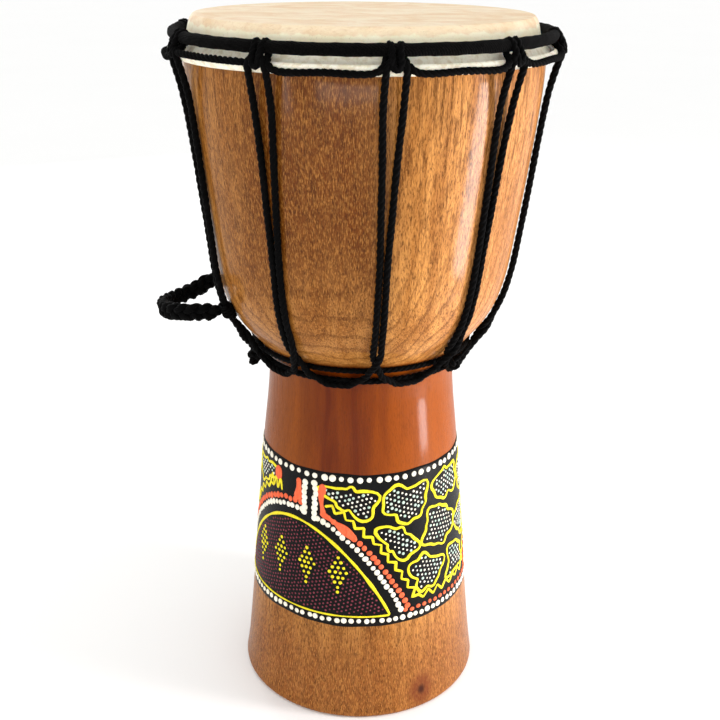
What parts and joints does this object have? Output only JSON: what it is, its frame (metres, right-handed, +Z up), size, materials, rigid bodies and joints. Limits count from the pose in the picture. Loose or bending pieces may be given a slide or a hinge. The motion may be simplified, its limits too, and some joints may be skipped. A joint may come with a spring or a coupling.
{
  "type": "djembe",
  "caption": "Small rope-tuned goblet drum: turned hardwood shell, goatskin head, corded crown ring, laced tension cord, painted band and a plaited side handle.",
  "frame": {"origin": "middle of the foot, on the surface the drum stands on", "axes": "+Z up the drum's axis to the playing head; -Y is the front, with the plaited handle on the -X side"},
  "size_m": [0.1676, 0.1612, 0.3],
  "materials": {
    "hardwood": "clear varnish over turned mahogany-coloured wood, stained warmer at the neck, with a painted band",
    "goatskin": "stretched rawhide, cream, slightly translucent",
    "iron": "plain iron wire",
    "black_cloth": "black cotton tape",
    "black_cord": "twisted black polyester cord"
  },
  "bodies": {
    "drum": {"shell": "hardwood", "drum_skin": "goatskin", "flesh_hoop": "iron", "crown_ring": "iron", "crown_ring_binding": "black_cloth", "crown_loop_cord": "black_cord", "crown_loop_knot": "black_cord", "tension_cord": "black_cord", "tension_cord_knot": "black_cord", "neck_ring_rope": "black_cord", "neck_tie_cord": "black_cord", "neck_tie_knot": "black_cord", "handle_lashing_front": "black_cord", "handle_lashing_rear": "black_cord"},
    "handle": {"handle_plait": "black_cord"}
  },
  "joints": [
    {"name": "handle_swing", "type": "hinge", "parent": "drum", "child": "handle", "pos_m": [-0.05996, -0.00659, 0.1855], "axis": [-0.1394, 0.9873, 0.0764], "range_deg": [-55, 43], "stiffness_Nm_per_rad": 0.008}
  ]
}
